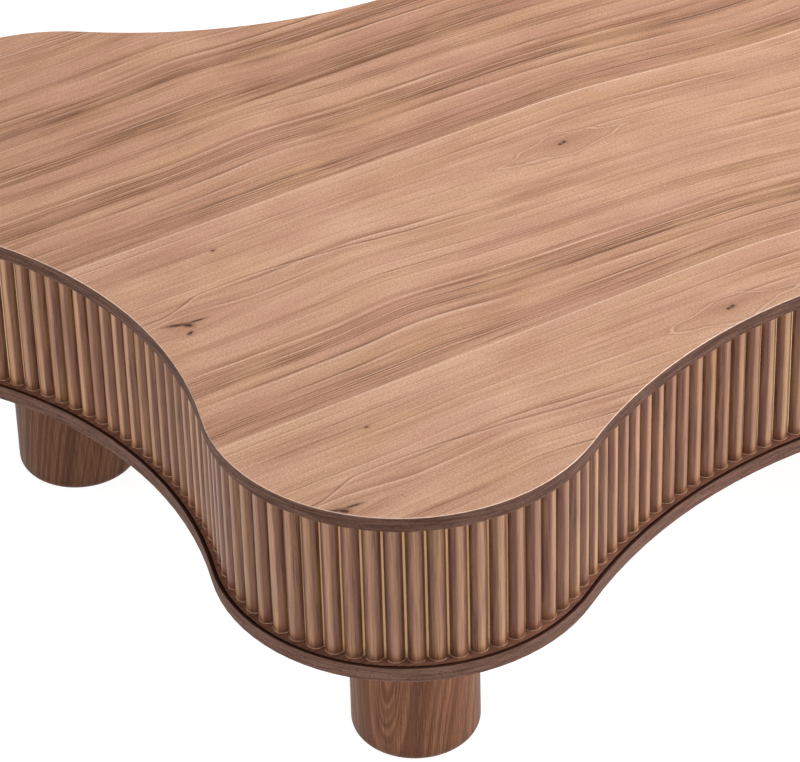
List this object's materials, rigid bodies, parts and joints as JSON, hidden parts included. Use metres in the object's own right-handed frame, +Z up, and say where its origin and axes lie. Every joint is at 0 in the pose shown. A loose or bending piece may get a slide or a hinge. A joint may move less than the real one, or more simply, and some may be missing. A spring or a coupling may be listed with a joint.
{
  "type": "coffee table",
  "caption": "Low wavy-edged coffee table in walnut veneer: lobed top over a box faced with upright half-round reeds, on thick round legs.",
  "frame": {"origin": "on the floor under the middle of the table", "axes": "+X along the table and along the grain of the top, +Y to the back, +Z up"},
  "size_m": [1.1998, 0.912, 0.381],
  "materials": {
    "top_veneer": "satin lacquered walnut veneer, grain along X",
    "top_edging": "satin lacquered walnut edge band, grain along the edge",
    "base_edging": "satin lacquered walnut edge band, grain along the edge",
    "ledge_veneer": "dark stained walnut veneer, satin",
    "plain_veneer": "plain balancing veneer, sealed",
    "board": "bare fibreboard",
    "plywood": "bare birch plywood",
    "facing": "pale bent veneered board, satin",
    "reeds": "satin lacquered walnut, grain upright",
    "legs": "satin lacquered walnut, grain upright",
    "steel": "zinc plated",
    "felt": "pressed felt"
  },
  "bodies": {
    "root": {"top_face_veneer": "top_veneer", "top_panel_core": "board", "top_edge_band": "top_edging", "top_under_veneer": "plain_veneer", "upper_ring": "plywood", "facing_lobe_front_left": "facing", "facing_side_front": "facing", "facing_lobe_front_right": "facing", "facing_side_right": "facing", "facing_lobe_back_right": "facing", "facing_side_back": "facing", "facing_lobe_back_left": "facing", "facing_side_left": "facing", "reeds_lobe_front_left": "reeds", "reeds_side_front": "reeds", "reeds_lobe_front_right": "reeds", "reeds_side_right": "reeds", "reeds_lobe_back_right": "reeds", "reeds_side_back": "reeds", "reeds_lobe_back_left": "reeds", "reeds_side_left": "reeds", "ring_studs": "plywood", "long_rib": "plywood", "cross_rib_left": "plywood", "cross_rib_right": "plywood", "lower_ring": "plywood", "base_ledge_veneer": "ledge_veneer", "base_panel_core": "board", "base_edge_band": "base_edging", "base_under_veneer": "plain_veneer", "base_screws": "steel", "leg_blocks": "plywood", "tee_nuts": "steel", "leg_bolts": "steel", "leg_front_left": "legs", "leg_front_right": "legs", "leg_back_right": "legs", "leg_back_left": "legs", "leg_pads": "felt"}
  },
  "joints": []
}
